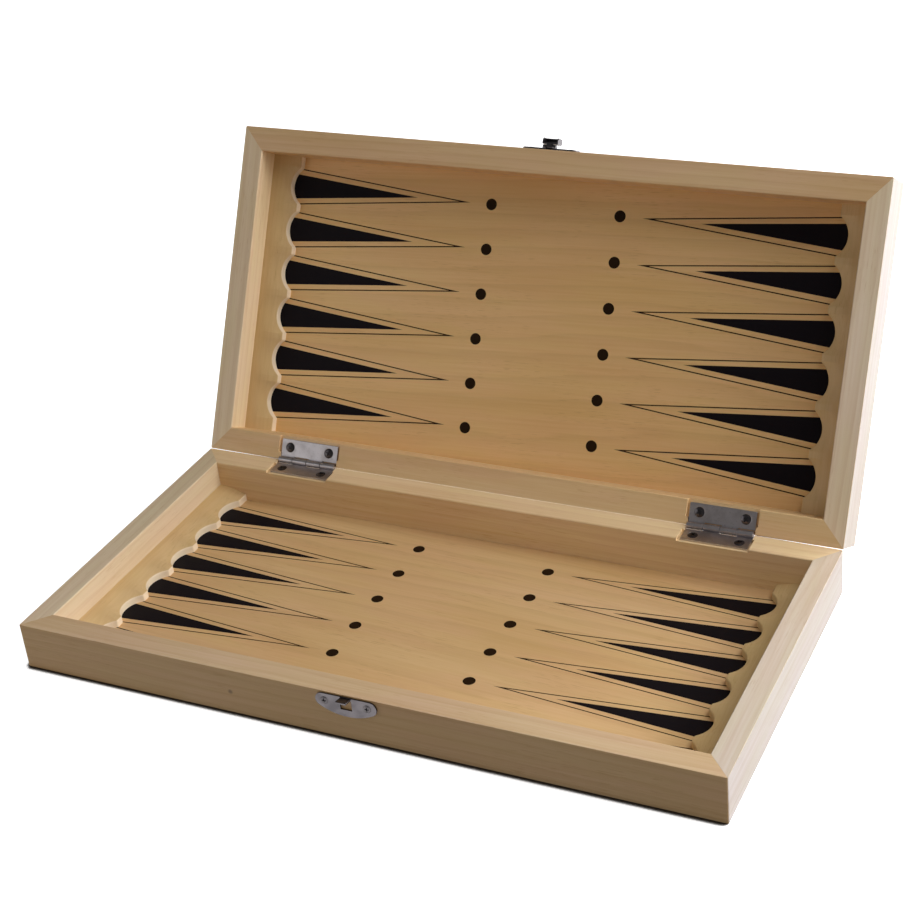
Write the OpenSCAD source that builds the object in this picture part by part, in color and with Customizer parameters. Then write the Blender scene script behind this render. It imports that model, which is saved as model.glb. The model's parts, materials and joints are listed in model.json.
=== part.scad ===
// Folding wooden game box, standing open: two framed halves on a pair of butt hinges, with a
// small hasp catch. Backgammon is printed inside, and each half carries half a chess and draughts
// board on its outside. Origin: centre of the lower half's underside. Hinges at +Y, catch at -Y.

/* [Box] */
// Width of each half, along the hinge line
box_w = 290; // [285:1:300]
// Depth of each half, from catch side to hinge side
box_d = 145; // [140:1:150]
// Height of each half
half_h = 20; // [18:0.5:24]
// Opening of the lid, counted from closed
lid_open = 118; // [0:1:180]
// Gap between the two rims when the box is closed
rim_gap = 0.2; // [0.1:0.1:0.4]

/* [Rails and panels] */
// Thickness of the left and right rails
side_rail_t = 9.5; // [8:0.5:11]
// Thickness of the front and back rails
long_rail_t = 10.5; // [10:0.5:12]
// Rounding of the corners and of the edge round the underside
outer_round = 0.6; // [0.4:0.1:1.5]
// Rounding of the rim's outer edge
rim_round = 0.2; // [0.1:0.1:0.5]
// Rounding of the rim's inner edge
inner_round = 0.5; // [0.2:0.1:1]
// Thickness of the board panels
panel_t = 2.5; // [2:0.1:3]
// How far a panel reaches into the rebate of each rail
rebate_w = 4.5; // [3:0.5:5]

/* [Point strips] */
// Height of the scalloped strips above the floor
strip_h = 6; // [4:0.5:8]
// Width of a strip, from the side wall to its teeth
strip_w = 12.7; // [10:0.1:14]
// Distance between neighbouring points
point_pitch = 19.4; // [19:0.1:19.8]
// Shift of the rows of points towards the hinges
row_shift = -0.5; // [-1.5:0.1:1.5]
// Width of a scallop at the teeth
scallop_w = 16; // [15:0.5:17]
// Depth of a scallop
scallop_deep = 4.1; // [3.5:0.1:5]
// Rounding of the teeth, seen from above
tooth_round = 0.9; // [0.5:0.1:1.2]
// Chamfer along the top of the teeth and scallops
strip_ease = 1; // [0.2:0.1:1.2]

/* [Printing] */
// Depth of the inlaid ink
ink_t = 0.2; // [0.1:0.05:0.4]
// Distance of each dot from the middle of the board
dot_x = 29.5; // [25:0.1:35]
// Diameter of a dot
dot_d = 5; // [4:0.1:6]
// Distance of an outline's tip from the middle
outline_tip_x = 39.5; // [36:0.5:45]
// Distance of a black point's tip from the middle
black_tip_x = 65; // [60:0.5:80]
// Width of an outline at the teeth
outline_w = 15.8; // [14:0.1:17]
// Width of a black point at its foot
black_w = 11.1; // [9:0.1:13]
// Thickness of an outline's ink line
outline_line = 0.5; // [0.3:0.1:1]
// Sideways slip of the lower half's print
tray_slip = -0.4; // [-2:0.1:2]
// Sideways slip of the lid's print
lid_slip = 0.2; // [-2:0.1:2]
// Pitch of the chess and draughts squares
square_pitch = 31; // [29:0.5:32]
// Light gap between two dark squares
square_gap = 0.2; // [0.1:0.1:0.5]
// Thickness of the line round the squares
border_line = 0.8; // [0.5:0.1:1.5]

/* [Hinges] */
// Distance of each hinge from the middle
hinge_x = 95; // [80:1:110]
// Length of a hinge
leaf_l = 28; // [26:0.2:32]
// Gap between a leaf and each end of its seat
leaf_gap = 1.1; // [0.3:0.1:2]
// Width of a leaf, from the pin's axis
leaf_w = 9.3; // [8:0.1:9.8]
// Thickness of a leaf
leaf_t = 0.75; // [0.6:0.05:0.9]
// Outer diameter of a knuckle
knuckle_d = 3; // [2.6:0.1:3.4]
// Diameter of the hinge pin
pin_d = 1.5; // [1.2:0.1:1.6]
// Distance of the pin's axis behind the box
pin_back = 0.05; // [0.05:0.05:0.8]

/* [Catch] */
// Place of the catch, right of the middle
catch_x = 1; // [-3:0.1:3]
// Distance between the two screws of a catch plate
plate_screws = 17.6; // [16:0.2:20]
// Thickness of the catch plates
plate_t = 0.7; // [0.5:0.05:0.8]
// Height of the plates, from the straight edge to the belly
plate_h = 8.6; // [8:0.1:10]
// Width of the tongue that the keeper plate holds out
tongue_w = 4.4; // [3:0.1:4.6]
// Reach of the tongue, from the back of its plate
tongue_l = 4.3; // [3.5:0.1:4.4]
// Upward tilt of the tongue
tongue_tilt = 10; // [6:1:12]
// Width of the hasp's bill
bill_w = 7; // [6.4:0.1:8]
// Swing of the hasp, counted from latched
hasp_open = 92; // [0:1:110]

/* [Hidden] */
$fn = 64;

wood = [0.84, 0.72, 0.54];
board = [0.80, 0.66, 0.46];
ink = [0.10, 0.08, 0.09];
steel = [0.74, 0.74, 0.76];

// How far a cutter runs past the face that it opens
past = 1;
// Clearance round what turns
turn_gap = 0.3;
// Radial clearance of a pin in the knuckles that turn on it
pin_gap = 0.05;

// Inside of the frame
inner_x = box_w / 2 - side_rail_t;
inner_y = box_d / 2 - long_rail_t;

// Plan of a point strip, drawn for the right-hand side
points_a_side = 6;
point_rows = [for (i = [0:points_a_side - 1])
    (i - (points_a_side - 1) / 2) * point_pitch + row_shift];
tooth_x = inner_x - strip_w;
scallop_r = (pow(scallop_w / 2, 2) + pow(scallop_deep, 2)) / (2 * scallop_deep);
scallop_x = tooth_x + scallop_deep - scallop_r;
// Centre of a tooth's corner rounding, which touches the scallop's circle from outside
ear_x = tooth_x + tooth_round;
ear_y = sqrt(pow(scallop_r + tooth_round, 2) - pow(ear_x - scallop_x, 2));

// Squares of one half, counted along and across it
squares_x = 8;
squares_y = 4;
border_off = 2;

// Hinge pin's axis, and the sunk seats that take the leaves
hinge_y = box_d / 2 + pin_back;
hinge_z = half_h + rim_gap / 2;
knuckle_r = knuckle_d / 2;
pin_r = pin_d / 2;
knuckles = 4;
knuckle_step = leaf_l / knuckles;
knuckle_gap = 0.1;
seat_l = leaf_l + 2 * leaf_gap;
seat_z = hinge_z - knuckle_r;
leaf_screw_x = 9.7;
leaf_screw_y = 5.7;

// Oval countersunk screws: head radius, shank radius, countersink, length, height of the oval
hinge_screw = [2.1, 1, 1.1, 7, 0.45];
plate_screw = [1.6, 0.75, 0.85, 6, 0.4];
recess_w = 0.5;
recess_deep = 0.25;

// Catch plates: straight edge near the rim, round lobes at the screws, and a belly that
// meets the lobes smoothly
plate_top = half_h - 0.6;
lobe_r = 3;
lobe_x = plate_screws / 2 + 0.8;
lobe_z = plate_top - lobe_r;
lobe_up = plate_h - lobe_r;
belly_r = (pow(lobe_x, 2) + pow(lobe_up, 2) - pow(lobe_r, 2)) / (2 * (lobe_up - lobe_r));
belly_z = plate_top - plate_h + belly_r;

// Underside of the tongue at its root, and the slot that it was cut and bent from
tongue_z = plate_top - 1.2;
slot_h = 4.4;
slot_side = 0.2;

// Pivot of the hasp, in the closed box
barrel_r = 0.95;
barrel_w = 2.8;
curl_w = 1.4;
curl_gap = 0.15;
hasp_pin_r = 0.4;
hasp_y = -box_d / 2 - barrel_r - turn_gap;
hasp_z = half_h + rim_gap + 1.5;

// Hollow bill of the hasp, which closes over the tongue. Seen from the side, near and far
// are counted out from the pivot, top and tip are counted down from it.
bill_t = 0.55;
bill_near = hasp_y + box_d / 2 + plate_t + turn_gap;
bill_far = 4.5;
bill_top = barrel_r + turn_gap;
bill_tip = 3.9;
bill_round = 1.1;
lip_l = 1.9;

// What a rounding takes off a square corner at the origin
module corner_cut(r) {
    difference() {
        translate([-past, -past]) square(r + past);
        translate([r, r]) circle(r);
    }
}

// Rectangle with round corners, centred
module round_rect(w, d, r) {
    difference() {
        square([w, d], center = true);
        for (sx = [0, 1], sy = [0, 1]) mirror([sx, 0]) mirror([0, sy])
            translate([-w / 2, -d / 2]) corner_cut(r);
    }
}

// Section of a rail: outer face at x = 0, underside at y = 0
module rail_section(t) {
    difference() {
        square([t, half_h]);
        corner_cut(outer_round);
        translate([0, half_h]) mirror([0, 1]) corner_cut(rim_round);
        translate([t, half_h]) rotate(180) corner_cut(inner_round);
        translate([t - rebate_w, -past]) square([rebate_w + past, panel_t + past]);
    }
}

// Rail along the front, mitred at both ends
module long_rail() {
    intersection() {
        translate([-box_w / 2, -box_d / 2, 0]) rotate([90, 0, 90]) linear_extrude(box_w)
            rail_section(long_rail_t);
        linear_extrude(half_h) intersection() {
            round_rect(box_w, box_d, outer_round);
            polygon([[-box_w / 2, -box_d / 2], [box_w / 2, -box_d / 2],
                     [inner_x, -inner_y], [-inner_x, -inner_y]]);
        }
    }
}

// Rail along the left side, mitred at both ends
module side_rail() {
    intersection() {
        translate([-box_w / 2, box_d / 2, 0]) rotate([90, 0, 0]) linear_extrude(box_d)
            rail_section(side_rail_t);
        linear_extrude(half_h) intersection() {
            round_rect(box_w, box_d, outer_round);
            polygon([[-box_w / 2, -box_d / 2], [-inner_x, -inner_y],
                     [-inner_x, inner_y], [-box_w / 2, box_d / 2]]);
        }
    }
}

// Countersunk part of a screw, pointing down from the rim of its head at z = 0
module screw_blank(size) {
    head_r = size[0];
    shank_r = size[1];
    sink_h = size[2];
    length = size[3];
    translate([0, 0, -sink_h]) cylinder(r1 = shank_r, r2 = head_r, h = sink_h);
    translate([0, 0, shank_r - length]) cylinder(r = shank_r, h = length - shank_r - sink_h);
    translate([0, 0, -length]) cylinder(r1 = 0, r2 = shank_r, h = shank_r);
}

// Whole screw, with its oval head and a cross recess
module screw(size) {
    head_r = size[0];
    oval_h = size[4];
    oval_r = (pow(head_r, 2) + pow(oval_h, 2)) / (2 * oval_h);
    difference() {
        union() {
            screw_blank(size);
            intersection() {
                translate([0, 0, oval_h - oval_r]) sphere(oval_r);
                cylinder(r = head_r, h = oval_h);
            }
        }
        for (a = [0, 90]) rotate(a) translate([-head_r / 2, -recess_w / 2, -recess_deep])
            cube([head_r, recess_w, recess_deep + past]);
    }
}

// Places of the four screws that hold the leaves of one half
module at_leaf_screws() {
    for (side = [-1, 1], end = [-1, 1])
        translate([side * hinge_x + end * leaf_screw_x, hinge_y - leaf_screw_y, seat_z + leaf_t])
            children();
}

// Places of the two screws of a catch plate, pointing into the rail
module at_plate_screws() {
    for (end = [-1, 1])
        translate([catch_x + end * plate_screws / 2, -box_d / 2 - plate_t, lobe_z])
            rotate([90, 0, 0]) children();
}

module front_rail() {
    difference() {
        long_rail();
        at_plate_screws() screw_blank(plate_screw);
    }
}

// Back rail, with a through seat for each hinge and a relief round its knuckles
module back_rail() {
    difference() {
        mirror([0, 1, 0]) long_rail();
        for (side = [-1, 1]) translate([side * hinge_x - seat_l / 2, 0, 0]) {
            translate([0, inner_y - past, seat_z])
                cube([seat_l, long_rail_t + 2 * past, half_h - seat_z + past]);
            translate([0, hinge_y, hinge_z]) rotate([0, 90, 0])
                cylinder(r = knuckle_r + turn_gap, h = seat_l);
        }
        at_leaf_screws() screw_blank(hinge_screw);
    }
}

// Plan of the right-hand strip: six scallops between rounded teeth
module strip_plan() {
    difference() {
        translate([tooth_x, -inner_y]) square([strip_w, 2 * inner_y]);
        for (y = point_rows) {
            translate([scallop_x, y]) circle(scallop_r);
            // Corner of each tooth, outside its rounding
            for (s = [-1, 1]) difference() {
                polygon([[ear_x, y + s * ear_y], [scallop_x, y], [scallop_x, y + s * ear_y]]);
                translate([ear_x, y + s * ear_y]) circle(tooth_round);
            }
        }
    }
}

// Right-hand strip on the floor, with its top edge chamfered
module point_strip() {
    translate([0, 0, panel_t]) difference() {
        linear_extrude(strip_h) strip_plan();
        for (y = point_rows) translate([scallop_x, y, strip_h - strip_ease - past])
            cylinder(r1 = scallop_r - past, r2 = scallop_r + strip_ease + past,
                     h = strip_ease + 2 * past);
        translate([tooth_x, 0, strip_h - strip_ease]) rotate([0, -45, 0])
            translate([-2 * past, -inner_y - past, 0])
            cube([strip_ease + 4 * past, 2 * (inner_y + past), 2 * past]);
    }
}

// One printed point, running right from the middle: an outline, the black point inside it
// and the dot before them
module point_ink() {
    foot_x = tooth_x + (strip_w + scallop_deep) / 2;
    outline_slope = outline_w / 2 / (tooth_x - outline_tip_x);
    outline_foot = (foot_x - outline_tip_x) * outline_slope;
    black_foot = (foot_x - black_tip_x) * black_w / 2 / (tooth_x + scallop_deep - black_tip_x);
    polygon([
        [foot_x, outline_foot],
        [outline_tip_x, 0],
        [foot_x, -outline_foot],
        [foot_x, outline_line - outline_foot],
        [outline_tip_x + outline_line / outline_slope, 0],
        [foot_x, outline_foot - outline_line]
    ]);
    polygon([[black_tip_x, 0], [foot_x, black_foot], [foot_x, -black_foot]]);
    translate([dot_x, 0]) circle(dot_d / 2);
}

// Ink on the floor of one half: twelve points that run on under the strips, and their dots
module point_field(slip) {
    translate([slip, 0]) for (side = [0, 1], y = point_rows)
        mirror([side, 0]) translate([0, y]) point_ink();
}

// Dark squares of one half and the line round them
module board_field(first) {
    field_w = squares_x * square_pitch;
    field_d = squares_y * square_pitch;
    side = square_pitch - square_gap;
    for (i = [0:squares_x - 1], j = [0:squares_y - 1]) if ((i + j) % 2 == first)
        translate([(i + 0.5) * square_pitch - field_w / 2, (j + 0.5) * square_pitch - field_d / 2])
            square(side, center = true);
    difference() {
        square([field_w + 2 * border_off, field_d + 2 * border_off], center = true);
        square([field_w + 2 * (border_off - border_line), field_d + 2 * (border_off - border_line)],
               center = true);
    }
}

module point_print(slip) {
    translate([0, 0, panel_t - ink_t]) linear_extrude(ink_t) point_field(slip);
}

module board_print(first) {
    linear_extrude(ink_t) board_field(first);
}

// Board panel, seated in the rails' rebates, with shallow pockets for the ink
module panel(slip, first) {
    panel_w = 2 * (inner_x + rebate_w);
    panel_d = 2 * (inner_y + rebate_w);
    difference() {
        translate([-panel_w / 2, -panel_d / 2, 0]) cube([panel_w, panel_d, panel_t]);
        translate([0, 0, panel_t - ink_t]) linear_extrude(ink_t + past) point_field(slip);
        translate([0, 0, -past]) linear_extrude(ink_t + past) board_field(first);
    }
}

// Leaf under the pin's axis. Every second knuckle is its own, beginning with the first given.
module hinge_leaf(first, bore_r) {
    difference() {
        union() {
            translate([-leaf_l / 2, -leaf_w, -knuckle_r])
                cube([leaf_l, leaf_w - knuckle_r - turn_gap, leaf_t]);
            for (i = [first:2:knuckles - 1])
                translate([i * knuckle_step - leaf_l / 2 + knuckle_gap, 0, 0]) rotate([90, 0, 90])
                linear_extrude(knuckle_step - 2 * knuckle_gap) {
                    circle(knuckle_r);
                    translate([-2 * knuckle_r, -knuckle_r]) square([2 * knuckle_r, leaf_t]);
                }
        }
        translate([-leaf_l / 2 - past, 0, 0]) rotate([0, 90, 0])
            cylinder(r = bore_r, h = leaf_l + 2 * past);
        for (end = [-1, 1]) translate([end * leaf_screw_x, -leaf_screw_y, leaf_t - knuckle_r])
            screw_blank(hinge_screw);
    }
}

module tray_leaf(side) {
    translate([side * hinge_x, hinge_y, hinge_z]) hinge_leaf(1, pin_r);
}

module lid_leaf(side) {
    translate([side * hinge_x, hinge_y, hinge_z]) hinge_leaf(0, pin_r + pin_gap);
}

module hinge_pin(side) {
    translate([side * hinge_x - leaf_l / 2, hinge_y, hinge_z]) rotate([0, 90, 0])
        cylinder(r = pin_r, h = leaf_l);
}

// Outline shared by the keeper plate and the catch plate, in x and z, centred on x
module plate_outline() {
    // Where lobe and belly touch, and the same direction drawn on past the belly
    reach = (belly_r + past) / (belly_r - lobe_r);
    out_x = lobe_x * reach;
    out_z = belly_z - (belly_z - lobe_z) * reach;
    for (s = [-1, 1]) translate([s * lobe_x, lobe_z]) circle(lobe_r);
    intersection() {
        translate([0, belly_z]) circle(belly_r);
        polygon([[-lobe_x, plate_top], [lobe_x, plate_top], [lobe_x, lobe_z], [out_x, out_z],
                 [out_x, belly_z - belly_r - past], [-out_x, belly_z - belly_r - past],
                 [-out_x, out_z], [-lobe_x, lobe_z]]);
    }
}

// Round bar along x, centred on the origin
module bar(r, l) {
    rotate([0, 90, 0]) cylinder(r = r, h = l, center = true);
}

module plate_blank() {
    difference() {
        translate([catch_x, -box_d / 2, 0]) rotate([90, 0, 0]) linear_extrude(plate_t)
            plate_outline();
        at_plate_screws() screw_blank(plate_screw);
    }
}

// Keeper plate of the lower half, with a tongue that is cut from the plate and bent out
module keeper() {
    slot_w = tongue_w + 2 * slot_side;
    difference() {
        plate_blank();
        translate([catch_x - slot_w / 2, -box_d / 2 - plate_t - past, tongue_z - slot_h])
            cube([slot_w, plate_t + 2 * past, slot_h]);
    }
    translate([catch_x - tongue_w / 2, -box_d / 2, tongue_z]) rotate([-tongue_tilt, 0, 0])
        translate([0, -tongue_l, 0]) cube([tongue_w, tongue_l - plate_t / 2, plate_t]);
}

// Catch plate of the lid, drawn in the closed box: the keeper's outline turned over, with a
// curl at each side of the hasp's barrel
module catch() {
    curl_x = barrel_w / 2 + curl_gap;
    notch_h = hasp_z + barrel_r + turn_gap - half_h;
    reach = -box_d / 2 - hasp_y;
    difference() {
        union() {
            turned_over() plate_blank();
            for (s = [-1, 1]) translate([catch_x + s * (curl_x + curl_w / 2), hasp_y, hasp_z]) {
                bar(barrel_r, curl_w);
                translate([-curl_w / 2, 0, 0]) cube([curl_w, reach, barrel_r]);
            }
        }
        translate([catch_x - curl_x, hasp_y, half_h]) cube([2 * curl_x, reach, notch_h]);
        translate([catch_x, hasp_y, hasp_z]) bar(hasp_pin_r, bill_w);
    }
}

// Outline of the bill seen from the side, x counted out and y counted down from the pivot
module bill_side(near, inset) {
    far = bill_far - inset;
    top = bill_top + inset;
    tip = bill_tip - inset;
    difference() {
        translate([near, top]) square([far - near, tip - top]);
        translate([far, tip]) rotate(180) corner_cut(bill_round - inset);
        translate([far, top]) mirror([1, 0]) corner_cut(bill_round - inset);
    }
}

// Side view of the hasp made solid across a width
module across(w) {
    rotate([90, 0, 90]) linear_extrude(w, center = true) rotate(180) children();
}

// Hasp hanging latched from its pivot at the origin: a hollow bill, open towards the box and
// below as far as its lip
module hasp_flap() {
    inside = bill_near - past;
    difference() {
        union() {
            bar(barrel_r, barrel_w);
            across(barrel_w) translate([bill_near, 0]) square([bill_t, bill_top + bill_t]);
            across(bill_w) bill_side(bill_near, 0);
        }
        bar(hasp_pin_r + pin_gap, bill_w);
        across(bill_w - 2 * bill_t) {
            bill_side(inside, bill_t);
            translate([inside, bill_top + bill_t])
                square([bill_far - lip_l - inside, bill_tip + past - bill_top]);
        }
    }
}

// Lower half turned over onto the rim: the lid of the closed box
module turned_over() {
    translate([0, 0, 2 * hinge_z]) mirror([0, 0, 1]) children();
}

// Closed lid swung open about the hinge pins
module opened() {
    translate([0, hinge_y, hinge_z]) rotate([-lid_open, 0, 0]) translate([0, -hinge_y, -hinge_z])
        children();
}

module on_lid() {
    opened() turned_over() children();
}

// Left-hand part moved to the right, or the other way round
module other_side() {
    mirror([1, 0, 0]) children();
}

module tray_front_rail() { color(wood) front_rail(); }
module tray_back_rail() { color(wood) back_rail(); }
module tray_left_rail() { color(wood) side_rail(); }
module tray_right_rail() { color(wood) other_side() side_rail(); }
module tray_panel() { color(board) panel(tray_slip, 1); }
module tray_left_point_strip() { color(wood) other_side() point_strip(); }
module tray_right_point_strip() { color(wood) point_strip(); }
module tray_point_print() { color(ink) point_print(tray_slip); }
module tray_board_print() { color(ink) board_print(1); }

module lid_front_rail() { color(wood) on_lid() front_rail(); }
module lid_back_rail() { color(wood) on_lid() back_rail(); }
module lid_left_rail() { color(wood) on_lid() side_rail(); }
module lid_right_rail() { color(wood) on_lid() other_side() side_rail(); }
module lid_panel() { color(board) on_lid() panel(lid_slip, 0); }
module lid_left_point_strip() { color(wood) on_lid() other_side() point_strip(); }
module lid_right_point_strip() { color(wood) on_lid() point_strip(); }
module lid_point_print() { color(ink) on_lid() point_print(lid_slip); }
module lid_board_print() { color(ink) on_lid() board_print(0); }

module left_hinge_tray_leaf() { color(steel) tray_leaf(-1); }
module left_hinge_lid_leaf() { color(steel) on_lid() lid_leaf(-1); }
module left_hinge_pin() { color(steel) hinge_pin(-1); }
module right_hinge_tray_leaf() { color(steel) tray_leaf(1); }
module right_hinge_lid_leaf() { color(steel) on_lid() lid_leaf(1); }
module right_hinge_pin() { color(steel) hinge_pin(1); }
module tray_hinge_screws() { color(steel) at_leaf_screws() screw(hinge_screw); }
module lid_hinge_screws() { color(steel) on_lid() at_leaf_screws() screw(hinge_screw); }

module keeper_plate() { color(steel) keeper(); }
module keeper_screws() { color(steel) at_plate_screws() screw(plate_screw); }
module catch_plate() { color(steel) opened() catch(); }
module catch_screws() { color(steel) on_lid() at_plate_screws() screw(plate_screw); }
module hasp() {
    color(steel) opened() translate([catch_x, hasp_y, hasp_z]) rotate([-hasp_open, 0, 0])
        hasp_flap();
}
module hasp_pin() {
    color(steel) opened() translate([catch_x, hasp_y, hasp_z])
        bar(hasp_pin_r, barrel_w + 2 * (curl_gap + curl_w));
}

tray_front_rail();
tray_back_rail();
tray_left_rail();
tray_right_rail();
tray_panel();
tray_left_point_strip();
tray_right_point_strip();
tray_point_print();
tray_board_print();
lid_front_rail();
lid_back_rail();
lid_left_rail();
lid_right_rail();
lid_panel();
lid_left_point_strip();
lid_right_point_strip();
lid_point_print();
lid_board_print();
left_hinge_tray_leaf();
left_hinge_lid_leaf();
left_hinge_pin();
right_hinge_tray_leaf();
right_hinge_lid_leaf();
right_hinge_pin();
tray_hinge_screws();
lid_hinge_screws();
keeper_plate();
keeper_screws();
catch_plate();
catch_screws();
hasp();
hasp_pin();
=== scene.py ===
import json
import math

import bmesh
import bpy
from mathutils import Matrix, Vector


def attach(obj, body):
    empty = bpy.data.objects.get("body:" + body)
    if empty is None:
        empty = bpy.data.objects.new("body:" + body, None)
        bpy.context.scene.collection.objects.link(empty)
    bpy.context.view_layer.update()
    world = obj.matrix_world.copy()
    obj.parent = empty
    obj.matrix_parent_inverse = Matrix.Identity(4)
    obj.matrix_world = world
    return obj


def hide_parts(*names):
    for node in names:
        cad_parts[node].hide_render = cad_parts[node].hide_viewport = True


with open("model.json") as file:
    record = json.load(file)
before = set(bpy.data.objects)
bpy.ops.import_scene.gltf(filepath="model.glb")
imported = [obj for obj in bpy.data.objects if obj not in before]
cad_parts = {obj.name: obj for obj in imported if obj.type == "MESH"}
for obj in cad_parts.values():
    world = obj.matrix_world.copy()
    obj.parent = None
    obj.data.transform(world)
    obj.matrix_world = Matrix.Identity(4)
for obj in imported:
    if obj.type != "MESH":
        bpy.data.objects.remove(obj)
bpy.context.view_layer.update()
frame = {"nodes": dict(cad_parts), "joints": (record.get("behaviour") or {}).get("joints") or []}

mm = 0.001
joints = {joint["name"]: joint for joint in frame["joints"]}
lidOpen = math.radians(-joints["lid_hinge"]["range_deg"][0])
haspOpen = math.radians(-joints["hasp_hinge"]["range_deg"][0])
hingePlace = Vector(joints["lid_hinge"]["pos_m"])
haspPlace = Vector(joints["hasp_hinge"]["pos_m"])

# The lid is the lower half turned over on the rim, then swung open on the hinge pins
openLid = (Matrix.Translation(hingePlace) @ Matrix.Rotation(-lidOpen, 4, "X")
           @ Matrix.Translation(-hingePlace))
turnOver = Matrix.Translation((0, 0, 2 * hingePlace.z)) @ Matrix.Scale(-1, 4, (0, 0, 1))
halves = {"tray": Matrix.Identity(4), "lid": openLid @ turnOver}


def linkObject(name, data):
    made = bpy.data.objects.new(name, data)
    bpy.context.scene.collection.objects.link(made)
    return made


# camera


camera = {
    "place": (0.30255, -0.53678, 0.42743),
    "yaw": 27.76,       # left of straight ahead
    "pitch": -29.79,
    "roll": -5.85,
    "lens": 73.37, "sensor": 36,      # mm
    "near": 0.01, "far": 100,
}


def addCamera():
    data = bpy.data.cameras.new("camera")
    data.lens = camera["lens"]
    data.sensor_width = camera["sensor"]
    data.clip_start = camera["near"]
    data.clip_end = camera["far"]
    seen = linkObject("camera", data)
    aim = (Matrix.Rotation(math.radians(camera["yaw"]), 4, "Z")
           @ Matrix.Rotation(math.radians(90 + camera["pitch"]), 4, "X")
           @ Matrix.Rotation(math.radians(camera["roll"]), 4, "Z"))
    seen.matrix_world = Matrix.Translation(camera["place"]) @ aim
    bpy.context.scene.camera = seen


addCamera()
print("camera placed")


# shader maths


class Wire:
    # a node's output that takes part in Python arithmetic

    def __init__(self, tree, out):
        self.tree = tree
        self.out = out

    def calc(self, operation, *others, clamp=False):
        settings = {"operation": operation, "use_clamp": clamp}
        return addNode(self.tree, "ShaderNodeMath", settings, dict(enumerate((self,) + others)))

    def __add__(self, other):
        return self.calc("ADD", other)

    def __sub__(self, other):
        return self.calc("SUBTRACT", other)

    def __rsub__(self, other):
        return (self * -1) + other

    def __mul__(self, other):
        return self.calc("MULTIPLY", other)

    def __truediv__(self, other):
        return self.calc("DIVIDE", other)

    def __pow__(self, other):
        return self.calc("POWER", other)

    __radd__ = __add__
    __rmul__ = __mul__


def addNode(tree, kind, settings=None, sockets=None, out=0):
    node = tree.nodes.new(kind)
    for name, value in (settings or {}).items():
        setattr(node, name, value)
    for name, value in (sockets or {}).items():
        if isinstance(value, Wire):
            tree.links.new(value.out, node.inputs[name])
        else:
            node.inputs[name].default_value = value
    return Wire(tree, node.outputs[out])


def colour(screen, tint=(1, 1, 1)):
    # a screen colour, 0 to 255, as Blender's linear values
    linear = [(v / 255 / 12.92) if v < 11 else ((v / 255 + 0.055) / 1.055) ** 2.4 for v in screen]
    return (*(min(1, v * t) for v, t in zip(linear, tint)), 1)


class Finish:
    # one material and the nodes that are used in it again and again

    def __init__(self, name):
        self.material = bpy.data.materials.new(name)
        self.material.use_nodes = True
        self.tree = self.material.node_tree
        self.shader = self.tree.nodes["Principled BSDF"]

    def node(self, kind, settings=None, sockets=None, out=0):
        return addNode(self.tree, kind, settings, sockets, out)

    def place(self, turn=(0, 0, 0), shift=(0, 0, 0)):
        spot = self.node("ShaderNodeTexCoord", out="Object")
        angles = tuple(math.radians(v) for v in turn)
        return self.node("ShaderNodeMapping", {"vector_type": "POINT"},
                         {"Vector": spot, "Rotation": angles, "Location": shift})

    def noise(self, spot, stretch, detail=2, rough=0.5):
        # stretch: how many times the noise changes in a metre, along x, y and z
        scaled = self.node("ShaderNodeVectorMath", {"operation": "MULTIPLY"}, {0: spot, 1: stretch})
        return self.node("ShaderNodeTexNoise", {"noise_dimensions": "3D"},
                         {"Vector": scaled, "Scale": 1.0, "Detail": detail, "Roughness": rough})

    def spread(self, value, low, high, newLow=0.0, newHigh=1.0):
        # low to high drawn out smoothly over newLow to newHigh
        return self.node("ShaderNodeMapRange", {"interpolation_type": "SMOOTHSTEP", "clamp": True}, {
            "Value": value, "From Min": low, "From Max": high, "To Min": newLow, "To Max": newHigh})

    def towards(self, direction):
        # how much the surface looks that way: 1 straight at it, 0 across it
        normal = self.node("ShaderNodeTexCoord", out="Normal")
        return self.node("ShaderNodeVectorMath", {"operation": "DOT_PRODUCT"}, {0: normal, 1: direction},
                         out="Value")

    def mix(self, factor, first, second, blend="MIX"):
        return self.node("ShaderNodeMix", {"data_type": "RGBA", "blend_type": blend},
                         {0: factor, 6: first, 7: second}, out=2)

    def bump(self, height, strength, distance):
        return self.node("ShaderNodeBump", None,
                         {"Strength": strength, "Distance": distance, "Height": height})

    def feed(self, **sockets):
        for name, value in sockets.items():
            socket = self.shader.inputs[name.replace("_", " ")]
            if isinstance(value, Wire):
                self.tree.links.new(value.out, socket)
            else:
                socket.default_value = value


# wood


wood = {
    "pale": (238, 214, 176),      # screen colours
    "deep": (214, 178, 128),
    "late": (196, 152, 100),      # dark end of a growth ring
    # painted highlight: this pale colour on the scallops' upright edge stands in for the lamps' light on it
    "scallopHighlight": (250, 232, 206),      # the scallops' upright edge
    "hues": ((1.0, 0.98, 0.985, 1), (0.99, 1.0, 0.95, 1)),
    "ringStep": 3.4 * mm,
    "ringCentre": (31 * mm, -74 * mm),   # across and under the board
    "waver": 9 * mm, "ripple": 0.9,
    "fibre": 0.7, "broad": 0.8, "blotch": 0.7, "ring": 0.30, "fleck": 0.35,     # how strongly each shows
    "rough": 0.38, "roughSpread": 0.16, "shine": 0.25, "lacquer": 0.06, "lacquerRough": 0.22,
    "bump": 0.22, "bumpHeight": 0.15 * mm,
}
panelLook = dict(wood, pale=(226, 190, 142), deep=(206, 163, 108), late=(176, 132, 84), ringStep=5.5 * mm,
                 ringCentre=(40 * mm, -26 * mm), waver=14 * mm, ring=0.25, lacquer=0.08)
stripLook = dict(wood, pale=(228, 196, 148), deep=(210, 173, 120), late=(184, 142, 90), ring=0.10, broad=0.5,
                 hues=((1, 0.99, 1, 1), (1, 1, 0.97, 1)))

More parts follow.
